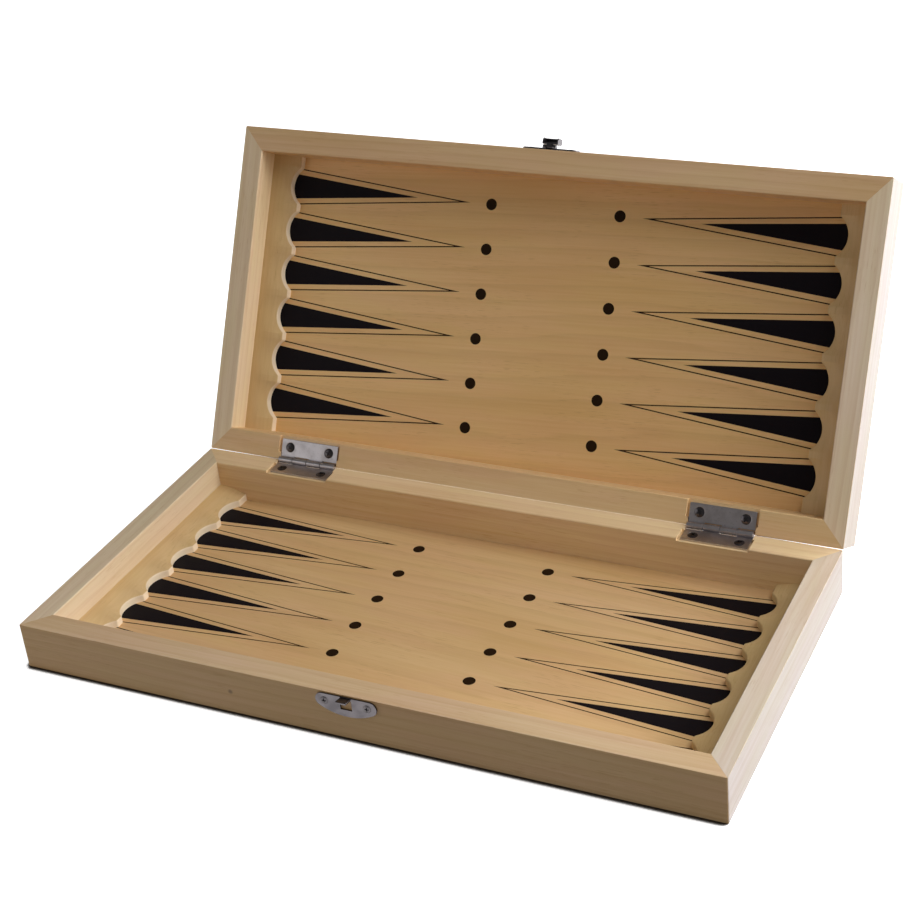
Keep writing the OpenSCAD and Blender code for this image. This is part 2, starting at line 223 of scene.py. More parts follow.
# how many times each unevenness changes in a metre: along, across and under the board
grain = {
    "bend": (4, 9, 9), "bendToo": (5, 14, 14), "ripple": (14, 160, 160),
    "fibre": (26, 1100, 1100), "broad": (7, 60, 60), "blotch": (9, 22, 22),
    "fleck": (150, 2300, 2300), "fleckZone": (30, 90, 90), "hue": (24, 110, 110),
}
# where each starts and is whole, and for some how strongly it shows at those two
ranges = {
    "ringEnd": (0.88, 1.0), "fleck": (0.60, 0.72), "fleckZone": (0.42, 0.62), "hue": (0.36, 0.64),
    "scallopHighlight": (0.35, 0.8, 0.75, 0), "face": (0.6, 0.95), "knot": (0.3 * mm, 1.4 * mm, 0.6, 0),
}
knot = {"place": (-0.0494, -0.0725, 0.0099), "colour": (0.10, 0.05, 0.025, 1)}

# name, turn of the grain from X, where the board is cut from the block, and its look
boards = {
    "front": ("FrontWood", 0, (0.31, 0.02, 0.01), wood),
    "back": ("BackWood", 0, (0.87, 0.11, 0.07), wood),
    "left": ("LeftWood", 90, (0.53, 0.04, 0.03), wood),
    "right": ("RightWood", 90, (1.37, 0.23, 0.19), wood),
    "leftStrip": ("StripWood", 90, (2.11, 0.41, 0.05), stripLook),
    "rightStrip": ("FarStripWood", 90, (2.67, 0.35, 0.09), stripLook),
    "panel": ("PanelWood", 3, (0.17, 0.06, 0.013), panelLook),
}
# how each board's wood departs from the common colours: partly its own wood, partly painted light and shade
# for how the lamps fall on that board, such as the paler, bluer right boards
woodAndLightTints = {
    ("tray", "front"): (0.89, 0.86, 0.91), ("tray", "back"): (1.12, 1.13, 1.15),
    ("tray", "left"): (0.98, 1.06, 1.26), ("tray", "right"): (0.91, 1.06, 1.50),
    ("lid", "front"): (1.02, 0.92, 0.85), ("lid", "back"): (1.06, 1.00, 0.94),
    ("lid", "left"): (1.12, 1.19, 1.34), ("lid", "right"): (1.17, 1.25, 1.50),
    ("tray", "leftStrip"): (0.95, 0.98, 0.98), ("lid", "leftStrip"): (0.98, 1.00, 0.97),
    ("tray", "rightStrip"): (1.05, 1.12, 1.11), ("lid", "rightStrip"): (1.03, 1.06, 1.04),
    ("tray", "panel"): (1.08, 1.10, 1.13), ("lid", "panel"): (1.26, 1.26, 1.18),
}
# outer faces with painted shade for how the lamps light them: the side of the closed box they look to, and
# their shade
faces = {
    ("tray", "front"): ((0, -1, 0), (1.08, 0.95, 0.70)),
    ("tray", "right"): ((1, 0, 0), (0.68, 0.71, 0.82)),
    ("lid", "right"): ((1, 0, 0), (0.51, 0.56, 0.71)),
}


def woodFinish(name, turn, shift, look):
    finish = Finish(name)
    board = finish.place(turn, shift)

    def uneven(kind, detail=2, rough=0.5):
        return finish.noise(board, grain[kind], detail, rough)

    # growth rings round a heart that lies under the board
    across, under = (finish.node("ShaderNodeSeparateXYZ", None, {0: board}, out=axis) for axis in (1, 2))
    across = across - look["ringCentre"][0] + (uneven("bend", 1.5) - 0.5) * look["waver"]
    under = under - look["ringCentre"][1] + (uneven("bendToo", 1.5) - 0.5) * look["waver"]
    radius = (across * across + under * under) ** 0.5
    ring = (radius / look["ringStep"] + (uneven("ripple") - 0.5) * look["ripple"]).calc("FRACT")
    late = (ring ** 3) * (1 - finish.spread(ring, *ranges["ringEnd"]))

    fibre = uneven("fibre", 3, 0.6)
    broad = uneven("broad")
    blotch = uneven("blotch", 1)
    fleck = finish.spread(uneven("fleck", 1), *ranges["fleck"])
    fleckZone = finish.spread(uneven("fleckZone", 1), *ranges["fleckZone"])
    hue = finish.spread(uneven("hue"), *ranges["hue"])

    tone = ((fibre - 0.5) * look["fibre"] + (broad - 0.5) * look["broad"]
            + (blotch - 0.5) * look["blotch"] + 0.5)
    pale, deep, dark = (colour(look[name], look["tint"]) for name in ("pale", "deep", "late"))
    body = finish.mix(tone.calc("MULTIPLY", 1.0, clamp=True), pale, deep)
    body = finish.mix(1.0, body, finish.mix(hue, *look["hues"]), "MULTIPLY")
    ringed = finish.mix(late * look["ring"], body, dark)
    done = finish.mix(fleck * fleckZone * look["fleck"], ringed, dark)
    if "edgeUp" in look:
        # painted highlight: the scallops' upright edge, on the strips that face the lamps, is paler than the
        # moulding's top
        level = finish.towards(look["edgeUp"]).calc("ABSOLUTE")
        done = finish.mix(finish.spread(level, *ranges["scallopHighlight"]), done, colour(look["scallopHighlight"]))
    if "face" in look:
        # painted shade: the outer face that looks that way is darkened and tinted, standing in for the light
        # that falls on it
        direction, shade = look["face"]
        paintedFaceShade = finish.mix(1.0, done, (*shade, 1), "MULTIPLY")
        done = finish.mix(finish.spread(finish.towards(direction), *ranges["face"]), done, paintedFaceShade)
    if "knot" in look:
        spot = finish.node("ShaderNodeTexCoord", out="Object")
        away = finish.node("ShaderNodeVectorMath", {"operation": "DISTANCE"}, {0: spot, 1: look["knot"]},
                           out="Value")
        done = finish.mix(finish.spread(away, *ranges["knot"]), done, knot["colour"])

    # the fibres and the late wood stand out, the flecks stand in
    height = fibre * 0.6 + late * 0.25 - fleck * 0.4
    finish.feed(Base_Color=done, Roughness=fibre * look["roughSpread"] + look["rough"],
                Specular_IOR_Level=look["shine"], Coat_Weight=look["lacquer"],
                Coat_Roughness=look["lacquerRough"],
                Normal=finish.bump(height, look["bump"], look["bumpHeight"]))
    return finish.material


materials = {}
for half, turn in (("tray", 0), ("lid", math.degrees(lidOpen))):
    for board, (name, angle, shift, look) in boards.items():
        look = dict(look, tint=woodAndLightTints[half, board])
        # only the left strips face the lamps, so only they get the painted highlight on their scallops
        if board == "leftStrip":
            look["edgeUp"] = halves[half].to_3x3() @ Vector((0, 0, 1))
        # the outer faces listed in faces get their painted shade
        if (half, board) in faces:
            look["face"] = faces[half, board]
        if (half, board) == ("tray", "front"):
            look["knot"] = knot["place"]
        materials[half, board] = woodFinish(half + name, (turn, 0, angle), shift, look)


# ink and metal


ink = {
    "black": (0.010, 0.0078, 0.0098, 1), "brown": (0.022, 0.011, 0.005, 1),
    "worn": (0.05, 0.036, 0.03, 1), "wear": 0.15,
    "grain": (60, 900, 900), "wearGrain": (700, 1500, 1500), "wearRange": (0.66, 0.78),
    "rough": 0.36, "roughSpread": 0.2, "shine": 0.04, "bump": 0.12, "bumpHeight": 0.1 * mm,
    "leastFilled": 300 * mm * mm,     # a printed shape larger than this is a filled point
}


def inkFinish(name, shade):
    finish = Finish(name)
    spot = finish.place()
    wavy = finish.noise(spot, ink["grain"])
    thin = finish.spread(finish.noise(spot, ink["wearGrain"]), *ink["wearRange"])
    finish.feed(Base_Color=finish.mix(thin * ink["wear"], shade, ink["worn"]),
                Roughness=wavy * ink["roughSpread"] + ink["rough"], Specular_IOR_Level=ink["shine"],
                Normal=finish.bump(wavy, ink["bump"], ink["bumpHeight"]))
    return finish.material


materials["fill"] = inkFinish("blackInk", ink["black"])
materials["line"] = inkFinish("brownInk", ink["brown"])

plating = {
    "stain": (180, 180, 180), "stainRange": (0.35, 0.7), "stainRough": 0.16,
    "speck": (1600, 1600, 1600), "speckRange": (0.60, 0.75), "speckRough": 0.12,
    "speckColour": (0.20, 0.18, 0.165, 1), "speckShows": 0.4,
    "brush": (160, 4200, 4200), "bump": 0.10, "bumpHeight": 0.05 * mm,
    # bright and dull places, and roughness
    "hinge": ("hingePlate", (0.58, 0.54, 0.55, 1), (0.44, 0.405, 0.41, 1), 0.34),
    "screw": ("screwZinc", (0.11, 0.10, 0.105, 1), (0.07, 0.064, 0.066, 1), 0.30),
    "catch": ("catchPlate", (0.145, 0.133, 0.141, 1), (0.10, 0.092, 0.098, 1), 0.30),
}


def platedFinish(name, bright, dull, rough):
    p = plating
    finish = Finish(name)
    spot = finish.place()
    stain = finish.noise(spot, p["stain"], 3)
    brushed = finish.noise(spot, p["brush"])
    speck = finish.spread(finish.noise(spot, p["speck"]), *p["speckRange"])
    base = finish.mix(finish.spread(stain, *p["stainRange"]), bright, dull)
    base = finish.mix(speck * p["speckShows"], base, p["speckColour"])
    finish.feed(Base_Color=base, Metallic=1.0,
                Roughness=rough + (stain - 0.5) * p["stainRough"] + speck * p["speckRough"],
                Normal=finish.bump(brushed * 0.5 + stain * 0.5, p["bump"], p["bumpHeight"]))
    return finish.material


for kind in ("hinge", "screw", "catch"):
    materials[kind] = platedFinish(*plating[kind])
print("materials made:", len(materials))


# mesh helpers


weldReach = 1e-7     # metres; points nearer together than this are one


def around(angle):
    return Vector((math.cos(math.radians(angle)), math.sin(math.radians(angle))))


def circle(radius, sides):
    angles = [2 * math.pi * k / sides for k in range(sides)]
    return [(radius * math.cos(a), radius * math.sin(a)) for a in angles]


def arc(cx, cy, radius, start, end, step=12):
    count = max(1, round(abs(end - start) / step))
    angles = [math.radians(start + (end - start) * k / count) for k in range(count + 1)]
    return [Vector((cx + radius * math.cos(a), cy + radius * math.sin(a))) for a in angles]


def roundedLoop(corners, step=15):
    # corners (x, y, radius) of a closed outline, given back as points with the roundings drawn
    points = []
    for i, (x, y, radius) in enumerate(corners):
        here = Vector((x, y))
        if not radius:
            points.append(here)
            continue
        toLast = (Vector(corners[i - 1][:2]) - here).normalized()
        toNext = (Vector(corners[(i + 1) % len(corners)][:2]) - here).normalized()
        half = toLast.angle(toNext) / 2
        centre = here + (toLast + toNext).normalized() * (radius / math.sin(half))
        first = here + toLast * (radius / math.tan(half)) - centre
        last = here + toNext * (radius / math.tan(half)) - centre
        start = math.atan2(first.y, first.x)
        turn = (math.atan2(last.y, last.x) - start + math.pi) % (2 * math.pi) - math.pi
        count = max(1, round(abs(math.degrees(turn)) / step))
        for k in range(count + 1):
            angle = start + turn * k / count
            points.append(centre + Vector((math.cos(angle), math.sin(angle))) * radius)
    return points


def rolledSheet(outer, inner, start, end, seam, outerStep=15, innerStep=20):
    # side view of a sheet rolled round a pin from start to end, its inner side shorter by the seam
    return arc(0, 0, outer, start, end, outerStep) + arc(0, 0, inner, end - seam, start, innerStep)


def joinRings(mesh, rings):
    # skins rings of equal count one after another and closes both ends
    count = len(rings[0])
    for first, second in zip(rings, rings[1:]):
        for i in range(count):
            j = (i + 1) % count
            mesh.faces.new((first[i], first[j], second[j], second[i]))
    mesh.faces.new(list(reversed(rings[0])))
    mesh.faces.new(rings[-1])


def addPrism(mesh, loop, low, high, toSpace):
    # a closed outline drawn out from low to high; toSpace(p, q, h) says where a point goes
    joinRings(mesh, [[mesh.verts.new(toSpace(p[0], p[1], h)) for p in loop] for h in (low, high)])


def sideways(y, z, x):
    return Vector((x, y, z))


def upright(x, y, z):
    return Vector((x, y, z))


def facing(x, z, out):
    # drawn on an upright face that looks towards -Y
    return Vector((x, -out, z))


def meshObject(name, mesh, scale=mm):
    bmesh.ops.scale(mesh, vec=(scale,) * 3, verts=mesh.verts)
    bmesh.ops.remove_doubles(mesh, verts=mesh.verts, dist=weldReach)
    bmesh.ops.dissolve_degenerate(mesh, edges=mesh.edges, dist=weldReach)
    bmesh.ops.recalc_face_normals(mesh, faces=mesh.faces)
    data = bpy.data.meshes.new(name)
    mesh.to_mesh(data)
    mesh.free()
    return linkObject(name, data)


def joinPieces(parts, name):
    mesh = bmesh.new()
    for part in parts:
        mesh.from_mesh(part.data)
        bpy.data.objects.remove(part)
    data = bpy.data.meshes.new(name)
    mesh.to_mesh(data)
    mesh.free()
    return linkObject(name, data)


def applyModifiers(made):
    bpy.context.view_layer.update()
    evaluated = made.evaluated_get(bpy.context.evaluated_depsgraph_get())
    data = bpy.data.meshes.new_from_object(evaluated)
    made.modifiers.clear()
    old = made.data
    made.data = data
    data.name = made.name
    bpy.data.meshes.remove(old)


def ease(made, width, segments=3, angle=40):
    bevel = made.modifiers.new("ease", "BEVEL")
    bevel.width = width * mm
    bevel.segments = segments
    bevel.limit_method = "ANGLE"
    bevel.angle_limit = math.radians(angle)
    bevel.use_clamp_overlap = True
    applyModifiers(made)


def combine(made, other, operation):
    boolean = made.modifiers.new("combine", "BOOLEAN")
    boolean.operation = operation
    boolean.solver = "EXACT"
    boolean.object = other
    applyModifiers(made)
    bpy.data.objects.remove(other)


def finishPiece(made, material, body, replaced, place, smooth=33):
    made.data.transform(place)
    if place.determinant() < 0:
        made.data.flip_normals()
    made.data.materials.clear()
    made.data.materials.append(material)
    made.data.shade_smooth()
    made.data.set_sharp_from_angle(angle=math.radians(smooth))
    weigh = made.modifiers.new("weigh", "WEIGHTED_NORMAL")
    weigh.keep_sharp = True
    applyModifiers(made)
    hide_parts(*replaced)
    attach(made, body)


# frame rails


rail = {
    "width": 290.0, "depth": 145.0, "height": 20.0,
    "sideThick": 9.5, "longThick": 10.5,
    "outerRound": 0.6, "rimRound": 0.2, "innerRound": 0.55,
    "rebateWide": 4.5, "rebateHigh": 2.5,
    "edgeEase": 0.12, "mitreSteps": 5, "mitreSpread": 0.3,
    "seatFloor": 18.6, "seatLength": 30.2, "hingeOff": 95.0, "relief": 1.8,
    "shoulder": 0.8, "shoulderWide": 3.15,
    "rimPoints": (3.2, 3.1, 1.0, 0.7, 0.4),     # in from the outer face, for the seats to cut down
    "pinGap": 0.015, "pinCorner": 0.25, "pinEnds": 0.8, "pinWeld": 0.02,
}


def seatFloor(s):
    # floor of a hinge seat at s from the outer face, with the relief round the knuckles
    off = s + hingePlace.y / mm - rail["depth"] / 2
    groove = math.sqrt(max(0, rail["relief"] ** 2 - off ** 2))
    return min(rail["seatFloor"], hingePlace.z / mm - groove)


def railRings(length, thick, mate, seats):
    # rings of section points (along, in from the outer face, up), from one mitre to the other
    outer, high, ledge = rail["outerRound"], rail["height"], thick - rail["rebateWide"]
    section = roundedLoop([
        (0, 0, outer), (ledge, 0, 0), (ledge, rail["rebateHigh"], 0),
        (thick, rail["rebateHigh"], 0), (thick, high, rail["innerRound"]),
        *((s, high, 0) for s in rail["rimPoints"]), (0, high, rail["rimRound"])])
    half = length / 2
    slope = mate / thick
    # where the corner's rounding meets the mitre, found step by step
    angle = math.pi / 4
    for _ in range(30):
        gap = (outer - outer * math.sin(angle)) - slope * (outer - outer * math.cos(angle))
        angle += gap / outer
    ends = []
    steps = rail["mitreSteps"]
    for k in range(steps + 1):
        turn = angle * k / steps
        ring = []
        for s, z in section:
            reach = s * slope
            if s < outer:
                left = outer - s
                ring.append((half - outer + left * math.sin(turn), outer - left * math.cos(turn), z))
            else:
                full = half - reach
                first = half - max(outer, reach) - rail["mitreSpread"]
                ring.append((full - (1 - k / steps) * (full - first), s, z))
        ends.append(ring)
    ends[-1] = [(half - s * slope, s, z) for _, s, z in ends[-1]]
    rings = [[(-u, s, z) for u, s, z in ring] for ring in reversed(ends)]
    for start, end in seats:
        cut = [(s, min(z, seatFloor(s))) for s, z in section]
        # wood stays close beside the knuckles, where light would show through
        stop = [(s, z if s < rail["shoulderWide"] else min(z, seatFloor(s))) for s, z in section]
        near, far = start + rail["shoulder"], end - rail["shoulder"]
        for u, shape in ((start, section), (start, stop), (near, stop), (near, cut),
                         (far, cut), (far, stop), (end, stop), (end, section)):
            rings.append([(u, s, z) for s, z in shape])
    return rings + ends


def meetAtPins(made):
    # brings the rim's outer corner to the pins' line, where the two halves stay together at every angle
    corner = rail["pinCorner"]
    near = Vector((rail["width"] / 2 - rail["pinEnds"], rail["depth"] / 2 - corner,
                   rail["height"] - corner)) * mm
    mesh = bmesh.new()
    mesh.from_mesh(made.data)
    moved = [v for v in mesh.verts if abs(v.co.x) < near.x and v.co.y > near.y and v.co.z > near.z]
    for vert in moved:
        vert.co.y, vert.co.z = hingePlace.y - rail["pinGap"] * mm, hingePlace.z - rail["pinGap"] * mm
    bmesh.ops.remove_doubles(mesh, verts=moved, dist=rail["pinWeld"] * mm)
    bmesh.ops.dissolve_degenerate(mesh, edges=mesh.edges, dist=weldReach)
    mesh.to_mesh(made.data)
    mesh.free()


def makeRail(half, side):
    if side in ("front", "back"):
        length, thick, mate = rail["width"], rail["longThick"], rail["sideThick"]
    else:
        length, thick, mate = rail["depth"], rail["sideThick"], rail["longThick"]
    seats = []
    if side == "back":
        reach = rail["seatLength"] / 2
        seats = [(off - reach, off + reach) for off in (-rail["hingeOff"], rail["hingeOff"])]
    halfWidth, halfDepth = rail["width"] / 2, rail["depth"] / 2
    spots = {
        "front": lambda u, s, z: (u, s - halfDepth, z),
        "back": lambda u, s, z: (-u, halfDepth - s, z),
        "left": lambda u, s, z: (s - halfWidth, -u, z),
        "right": lambda u, s, z: (halfWidth - s, u, z),
    }
    mesh = bmesh.new()
    joinRings(mesh, [[mesh.verts.new(spots[side](*point)) for point in ring]
                     for ring in railRings(length, thick, mate, seats)])
    made = meshObject(half + side.capitalize() + "Rail", mesh)
    ease(made, rail["edgeEase"], 2)
    if side == "back":
        meetAtPins(made)
    finishPiece(made, materials[half, side], half, [f"{half}_{side}_rail"], halves[half])


for half in halves:
    for side in ("front", "back", "left", "right"):
        makeRail(half, side)
print("rails made")


# scalloped point strips


strip = {
    "wall": 135.5, "wide": 12.7, "floor": 2.5, "high": 6.0, "halfLength": 62.0,
    "pitch": 19.4, "shift": -0.5, "count": 6, "scallopWide": 16.0, "scallopDeep": 4.1, "toothRound": 0.9,
    "edgeHigh": 3.4, "edgeRound": 0.85,
    "wider": {("tray", "right"): 1.7},     # this one lies further in than the other three
    "toothSteps": 6, "scallopSteps": 12, "edgeSteps": 5, "swellSteps": 8, "smooth": 40,
}


def stripEdge(inset, wide):
    # points of the scalloped edge from front to back, moved in by inset; past the teeth's own
    # rounding the flats and the scallops meet in mitres
    s = strip
    tooth = s["wall"] - wide
    radius = ((s["scallopWide"] / 2) ** 2 + s["scallopDeep"] ** 2) / (2 * s["scallopDeep"])
    centreX = tooth + s["scallopDeep"] - radius
    nose = max(0, s["toothRound"] - inset)
    flat, hollow = tooth + inset, radius + inset
    earX = flat + nose
    earY = math.sqrt((hollow + nose) ** 2 - (earX - centreX) ** 2)
    lean = math.degrees(math.atan2(earY, earX - centreX))
    ears = [lean * k / s["toothSteps"] for k in range(s["toothSteps"] + 1)]
    scallop = [lean * k / s["scallopSteps"] for k in range(1 - s["scallopSteps"], s["scallopSteps"])]
    edge = [Vector((flat, -s["halfLength"]))]
    for i in range(s["count"]):
        y = (i - (s["count"] - 1) / 2) * s["pitch"] + s["shift"]
        edge += [Vector((earX, y - earY)) + nose * around(180 - angle) for angle in ears]
        edge += [Vector((centreX, y)) + hollow * around(angle) for angle in scallop]
        edge += [Vector((earX, y + earY)) + nose * around(180 + lean - angle) for angle in ears]
    edge.append(Vector((flat, s["halfLength"])))
    return edge


def makeStrip(half, side):
    s = strip
    edge, top = s["floor"] + s["edgeHigh"], s["floor"] + s["high"]
    levels = [(0, s["floor"])]
    for k in range(s["edgeSteps"] + 1):
        turn = around(90 * k / s["edgeSteps"])
        levels.append((s["edgeRound"] * (1 - turn.x), edge - s["edgeRound"] * (1 - turn.y)))
    wide = s["wide"] + s["wider"].get((half, side), 0)
    sign = 1 if side == "right" else -1
    mesh = bmesh.new()
    rings = []
    for points in zip(*(stripEdge(inset, wide) for inset, _ in levels)):
        ring = [(point.x, point.y, z) for point, (_, z) in zip(points, levels)]
        # the moulding swells from the thin edge up to the wall
        x, y = points[-1]
        for share in (k / s["swellSteps"] for k in range(1, s["swellSteps"] + 1)):
            ring.append((x + (s["wall"] - x) * share, y, edge + (top - edge) * math.sin(share * math.pi / 2)))
        ring.append((s["wall"], y, s["floor"]))
        rings.append([mesh.verts.new((sign * x, y, z)) for x, y, z in ring])
    joinRings(mesh, rings)
    made = meshObject(half + side.capitalize() + "PointStrip", mesh)
    finishPiece(made, materials[half, side + "Strip"], half, [f"{half}_{side}_point_strip"],
                halves[half], s["smooth"])


for half in halves:
    for side in ("left", "right"):
        makeStrip(half, side)
print("point strips made")


# printed boards keep their CAD meshes


def inkIslands(made):
    # the filled points are black and the thin lines and dots brown, told apart by an island's area
    mesh = bmesh.new()
    mesh.from_mesh(made.data)
    left = set(mesh.faces)
    while left:
        island, growing = [], [left.pop()]
        while growing:
            face = growing.pop()
            island.append(face)
            fresh = {other for edge in face.edges for other in edge.link_faces} & left
            left -= fresh
            growing += fresh
        filled = sum(face.calc_area() for face in island) > ink["leastFilled"]
        for face in island:
            face.material_index = 0 if filled else 1
    mesh.to_mesh(made.data)
    mesh.free()


for half in halves:
    for node, finishes in ((half + "_panel", [materials[half, "panel"]]),
                           (half + "_point_print", [materials["fill"], materials["line"]]),
                           (half + "_board_print", [materials["fill"]])):
        board = frame["nodes"][node]
        board.data.materials.clear()
        for finish in finishes:
            board.data.materials.append(finish)
        if len(finishes) > 1:
            inkIslands(board)
print("boards finished")


# node trees


def geometryTree(name, inputs):
    # inputs by label: the kind of socket and its value, or None
    tree = bpy.data.node_groups.new(name, "GeometryNodeTree")
    tree.interface.new_socket("Geometry", in_out="INPUT", socket_type="NodeSocketGeometry")
    tree.interface.new_socket("Geometry", in_out="OUTPUT", socket_type="NodeSocketGeometry")
    for label, (kind, value) in inputs.items():
        socket = tree.interface.new_socket(label, in_out="INPUT", socket_type="NodeSocket" + kind)
        if value is not None:
            socket.default_value = value
    entry = tree.nodes.new("NodeGroupInput")
    return tree, {socket.name: Wire(tree, socket) for socket in entry.outputs if socket.name}


def growTree(tree, geometry, finish):
    # every tree ends in Realize Instances and Set Material
    real = addNode(tree, "GeometryNodeRealizeInstances", None, {0: geometry})
    dressed = addNode(tree, "GeometryNodeSetMaterial", None, {"Geometry": real, "Material": finish})
    leave = tree.nodes.new("NodeGroupOutput")
    tree.links.new(dressed.out, leave.inputs[0])


def runTree(tree, name, points, values):
    # the tree's result on a mesh of bare points, as a plain mesh object
    data = bpy.data.meshes.new(name)
    data.from_pydata([tuple(p) for p in points], [], [])
    made = linkObject(name, data)
    modifier = made.modifiers.new(name, "NODES")
    modifier.node_group = tree
    for item in tree.interface.items_tree:
        if item.item_type == "SOCKET" and item.in_out == "INPUT" and item.name in values:
            modifier[item.identifier] = values[item.name]
    applyModifiers(made)
    return made


# screws


screw = {
    "hinge": {
        "Head radius": 2.1 * mm, "Oval height": 0.45 * mm, "Sink height": 1.1 * mm, "Shank radius": 1.0 * mm,
        "Recess width": 0.52 * mm, "Recess length": 2.3 * mm, "Recess depth": 0.75 * mm, "Seed": 4},
    "plate": {
        "Head radius": 1.6 * mm, "Oval height": 0.4 * mm, "Sink height": 0.85 * mm, "Shank radius": 0.75 * mm,
        "Recess width": 0.42 * mm, "Recess length": 1.75 * mm, "Recess depth": 0.6 * mm, "Seed": 9},
    "alongX": 9.7, "fromPin": 5.7, "leafTop": 19.35,
    "plateSpread": 8.8, "plateHeight": 16.4, "plateFace": 73.2, "catchOff": 1.0,
    "sides": 32, "topRings": 6,
}
catchShift = Matrix.Translation((screw["catchOff"] * mm, 0, 0))


def screwTree():
    inputs = {label: ("Int" if label == "Seed" else "Float", size) for label, size in screw["hinge"].items()}
    tree, given = geometryTree("ovalScrews", dict(inputs, Finish=("Material", None)))
    blank = addNode(tree, "GeometryNodeMeshCylinder", None, {
        "Vertices": screw["sides"], "Side Segments": 1, "Fill Segments": screw["topRings"],
        "Radius": given["Head radius"], "Depth": given["Sink height"]})
    spot = addNode(tree, "GeometryNodeInputPosition")
    x, y, z = (addNode(tree, "ShaderNodeSeparateXYZ", None, {0: spot}, out=axis) for axis in range(3))
    # the top swells into an oval head and the underside narrows to the shank
    isTop = z.calc("GREATER_THAN", 0.0)
    share = (x * x + y * y) / (given["Head radius"] * given["Head radius"])
    raised = z - given["Sink height"] * 0.5 + isTop * given["Oval height"] * (1 - share)
    taper = isTop + (1 - isTop) * given["Shank radius"] / given["Head radius"]
    shaped = addNode(tree, "ShaderNodeCombineXYZ", None, {0: x * taper, 1: y * taper, 2: raised})
    head = addNode(tree, "GeometryNodeSetPosition", None, {"Geometry": blank, "Position": shaped})
    wings = []
    for turn in (0, math.pi / 2):
        size = addNode(tree, "ShaderNodeCombineXYZ", None, {
            0: given["Recess length"], 1: given["Recess width"], 2: given["Recess depth"] * 2})
        cube = addNode(tree, "GeometryNodeMeshCube", None, {"Size": size})
        lift = addNode(tree, "ShaderNodeCombineXYZ", None, {0: 0.0, 1: 0.0, 2: given["Oval height"]})
        wings.append(addNode(tree, "GeometryNodeTransform", None, {
            "Geometry": cube, "Translation": lift, "Rotation": (0, 0, turn)}))
    cross = addNode(tree, "GeometryNodeMeshBoolean", {"operation": "UNION", "solver": "EXACT"},
                    {"Mesh 2": wings[0]})
    tree.links.new(wings[1].out, cross.out.node.inputs["Mesh 2"])
    slotted = addNode(tree, "GeometryNodeMeshBoolean", {"operation": "DIFFERENCE", "solver": "EXACT"},
                      {"Mesh 1": head, "Mesh 2": cross})
    angle = addNode(tree, "FunctionNodeRandomValue", {"data_type": "FLOAT"},
                    {2: 0.0, 3: math.pi, "Seed": given["Seed"]}, out=1)
    spin = addNode(tree, "ShaderNodeCombineXYZ", None, {2: angle})
    turned = addNode(tree, "FunctionNodeEulerToRotation", None, {0: spin})
    placed = addNode(tree, "GeometryNodeInstanceOnPoints", None, {
        "Points": given["Geometry"], "Instance": slotted, "Rotation": turned})
    growTree(tree, placed, given["Finish"])
    return tree


ovalScrews = screwTree()


def makeScrews():
    s = screw
    leafPoints = [Vector((side * rail["hingeOff"] + end * s["alongX"], hingePlace.y / mm - s["fromPin"],
                          s["leafTop"])) * mm for side in (-1, 1) for end in (-1, 1)]
    platePoints = [Vector((s["catchOff"] + end * s["plateSpread"], s["plateHeight"], s["plateFace"])) * mm
                   for end in (-1, 1)]
    zinc = materials["screw"]
    standUp = Matrix.Rotation(math.pi / 2, 4, "X")
    for half, plateNode in (("tray", "keeper_screws"), ("lid", "catch_screws")):
        made = runTree(ovalScrews, half + "HingeScrews", leafPoints, dict(s["hinge"], Finish=zinc))
        finishPiece(made, zinc, half, [half + "_hinge_screws"], halves[half])
        made = runTree(ovalScrews, half + "CatchScrews", platePoints, dict(s["plate"], Finish=zinc))
        finishPiece(made, zinc, half, [plateNode], halves[half] @ standUp)


makeScrews()
print("screws made")

sink = {"above": 0.4, "flare": 1.36, "past": 2, "sides": 40}


def sinkCutter(places, wide, narrow, deep, toSpace):
    # cones that open the seats of countersunk screws
    stations = ((sink["above"], wide * sink["flare"]), (0, wide), (-deep, narrow),
                (-deep - sink["past"], narrow))
    mesh = bmesh.new()
    for x, y, z in places:
        joinRings(mesh, [[mesh.verts.new(toSpace(x + p, y + q, z + reach))
                          for p, q in circle(radius, sink["sides"])] for reach, radius in stations])
    return meshObject("sinkCutter", mesh)


def turnedPin(name, half, ends, sides):
    # a pin along x; ends: how far in from the tip, and the radius there, alike at both ends
    stations = [(-half + inset, radius) for inset, radius in ends]
    stations += [(half - inset, radius) for inset, radius in reversed(ends)]
    mesh = bmesh.new()
    joinRings(mesh, [[mesh.verts.new((x, y, z)) for y, z in circle(radius, sides)] for x, radius in stations])
    return meshObject(name, mesh)


# hinges


hinge = {
    "length": 28.0, "leafWide": 9.3, "leafThick": 0.75, "knuckleRound": 1.5, "bore": 0.8,
    "clear": 0.3, "count": 4, "gap": 0.1, "cornerRound": 0.5, "edgeEase": 0.12, "knuckleEase": 0.1,
    "seamAngle": 212, "seam": 6, "sheetRun": 3.0,
    "screwSink": (2.1, 1.0, 1.1), "sinkPlay": 0.12,
    "pinRound": 0.75, "pinPast": 0.05, "pinSides": 24,
    "pinEnds": ((0, 0.55), (0.12, 0.85), (0.35, 1.0)),     # in from the tip, share of the radius
}


def knuckleTree():
    tree, given = geometryTree("knuckleRow", {
        "Knuckle": ("Object", None), "Start": ("Float", 0.0), "Step": ("Float", 0.014), "Count": ("Int", 2),
        "Finish": ("Material", None)})
    step = addNode(tree, "ShaderNodeCombineXYZ", None, {0: given["Step"]})
    start = addNode(tree, "ShaderNodeCombineXYZ", None, {0: given["Start"]})
    line = addNode(tree, "GeometryNodeMeshLine", {"mode": "OFFSET"}, {
        "Count": given["Count"], "Start Location": start, "Offset": step})
    rolled = addNode(tree, "GeometryNodeObjectInfo", {"transform_space": "ORIGINAL"},
                     {"Object": given["Knuckle"]}, out="Geometry")
    placed = addNode(tree, "GeometryNodeInstanceOnPoints", None, {"Points": line, "Instance": rolled})
    growTree(tree, placed, given["Finish"])
    return tree


